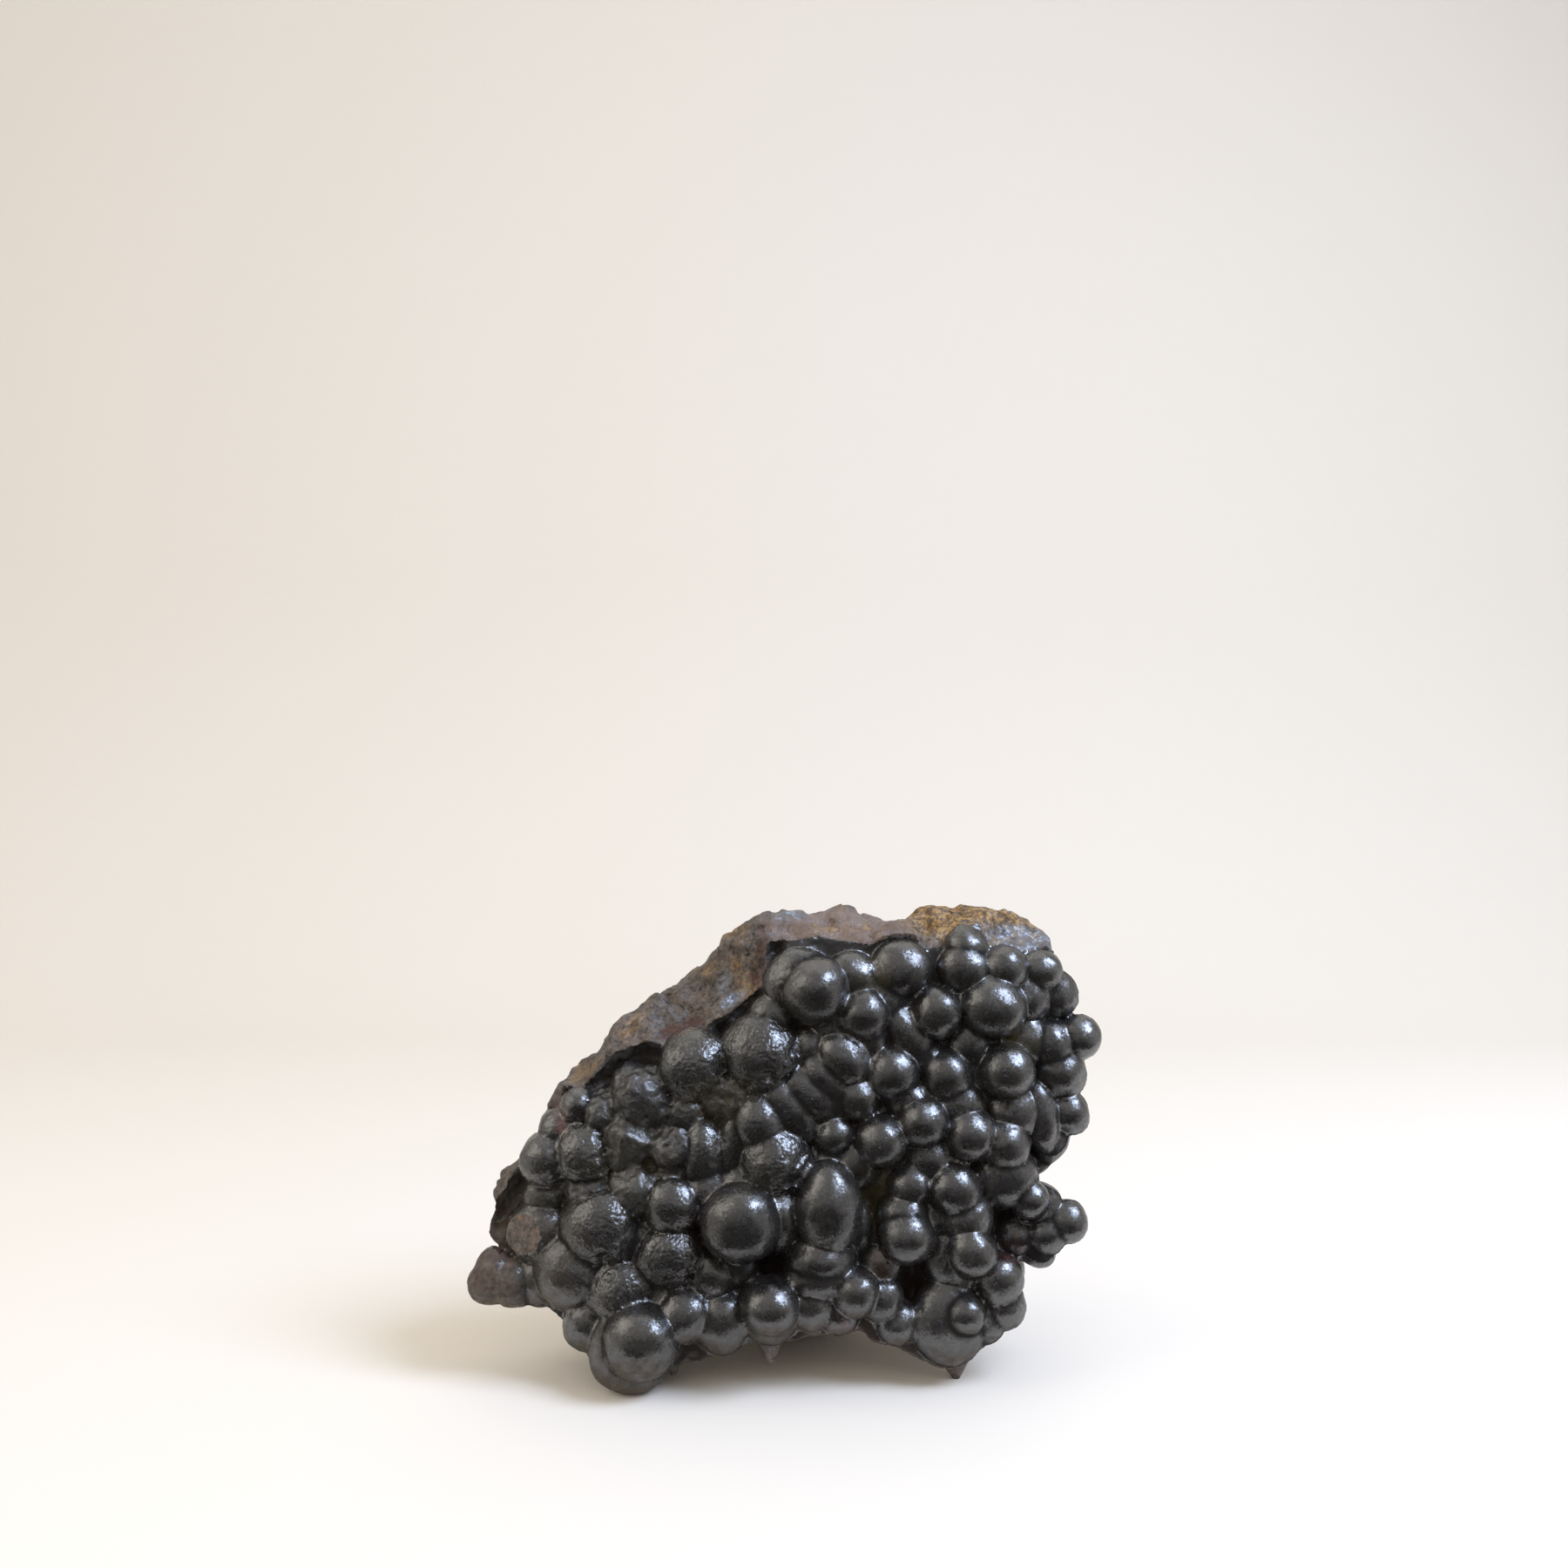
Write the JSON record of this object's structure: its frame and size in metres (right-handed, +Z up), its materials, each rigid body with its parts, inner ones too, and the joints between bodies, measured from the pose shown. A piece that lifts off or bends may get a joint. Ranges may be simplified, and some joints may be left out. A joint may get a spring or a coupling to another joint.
{
  "type": "botryoidal hematite specimen",
  "caption": "Hand specimen of kidney ore: a crust of rounded grey-black lumps on a broken body that stands on two front feet and a heel.",
  "frame": {"origin": "on the surface the specimen stands on, under the middle of its bounding box", "axes": "+Z up, +X to the right seen from the front, +Y from the lumpy crust towards the broken back"},
  "size_m": [0.0838, 0.0422, 0.0615],
  "materials": {
    "hematite": "satin, submetallic grey-black lumps; broken faces earthy grey-brown to ochre"
  },
  "bodies": {
    "root": {"hematite": "hematite"}
  },
  "joints": []
}
